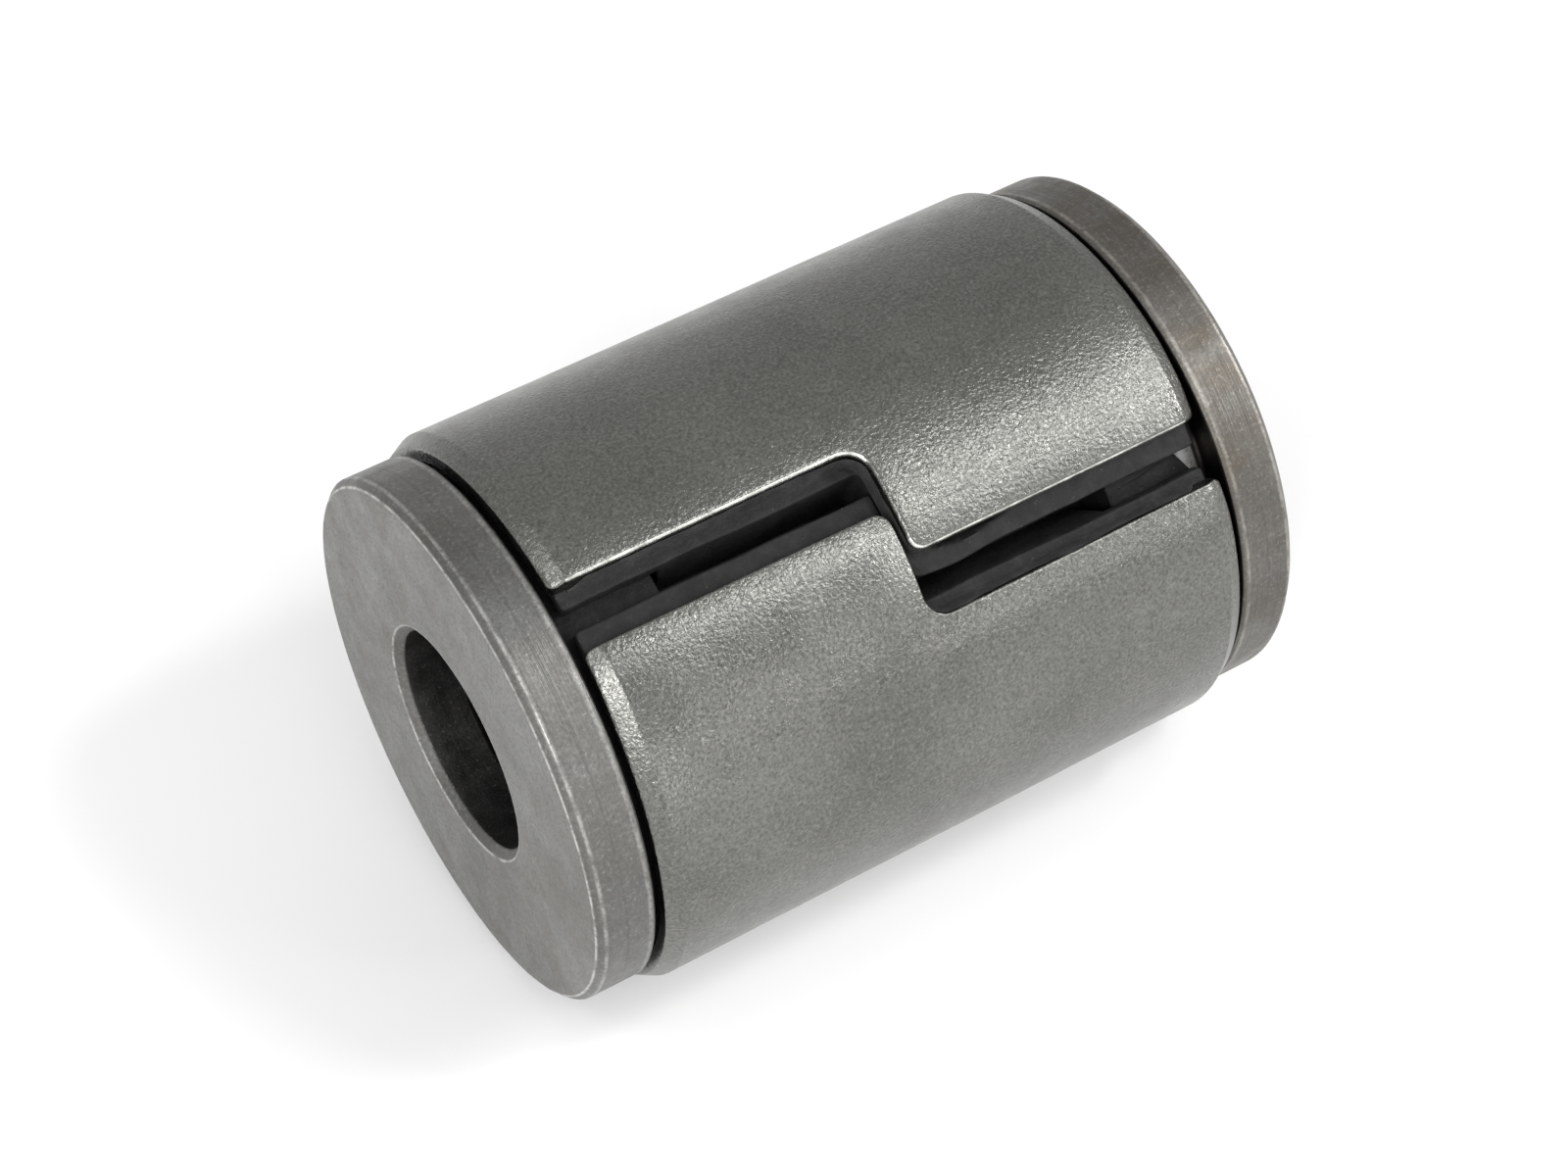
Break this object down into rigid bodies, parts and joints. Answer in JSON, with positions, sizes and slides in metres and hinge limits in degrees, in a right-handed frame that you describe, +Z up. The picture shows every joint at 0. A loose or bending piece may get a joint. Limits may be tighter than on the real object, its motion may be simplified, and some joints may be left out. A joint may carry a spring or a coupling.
{
  "type": "slotted rubber-to-metal spring bush",
  "caption": "Cylindrical rubber-bonded bush: slotted steel sleeve with a stepped slot, rubber moulding, and a flanged steel core with a through bore for a bolt.",
  "frame": {"origin": "on the bore's centre line, midway between the two end faces", "axes": "+X along the bore's axis from the near flange to the far flange, +Z up as the bush lies on its side with the slot up and towards -Y"},
  "size_m": [0.083, 0.06, 0.06],
  "materials": {
    "sleeve_steel": "phosphated sheet steel, grey, satin, with a fine orange-peel grain",
    "core_steel": "turned steel, matte grey, lightly oxidised, with fine turning marks",
    "rubber": "moulded natural rubber, black, matte"
  },
  "bodies": {
    "outer": {"outer_sleeve": "sleeve_steel"},
    "rubber": {"rubber_body": "rubber"},
    "hub_rubber": {"near_hub_rubber": "rubber", "far_hub_rubber": "rubber"},
    "core": {"core_tube": "core_steel", "near_flanged_hub": "core_steel", "far_flanged_hub": "core_steel"}
  },
  "joints": [
    {"name": "torsion", "type": "hinge", "parent": "outer", "child": "rubber", "pos_m": [0, 0, 0], "axis": [1, 0, 0], "range_deg": [-15, 15], "stiffness_Nm_per_rad": 15, "deforming": ["rubber_body"]},
    {"name": "axial_shift", "type": "slide", "parent": "rubber", "child": "hub_rubber", "axis": [1, 0, 0], "range_m": [-0.0004, 0.0004], "stiffness_N_per_m": 40000, "deforming": ["rubber_body"]},
    {"name": "cardanic_tilt", "type": "hinge", "parent": "hub_rubber", "child": "core", "pos_m": [0, 0, 0], "axis": [0, 1, 0], "range_deg": [-0.8, 0.8], "stiffness_Nm_per_rad": 25, "deforming": ["near_hub_rubber", "far_hub_rubber"]}
  ]
}
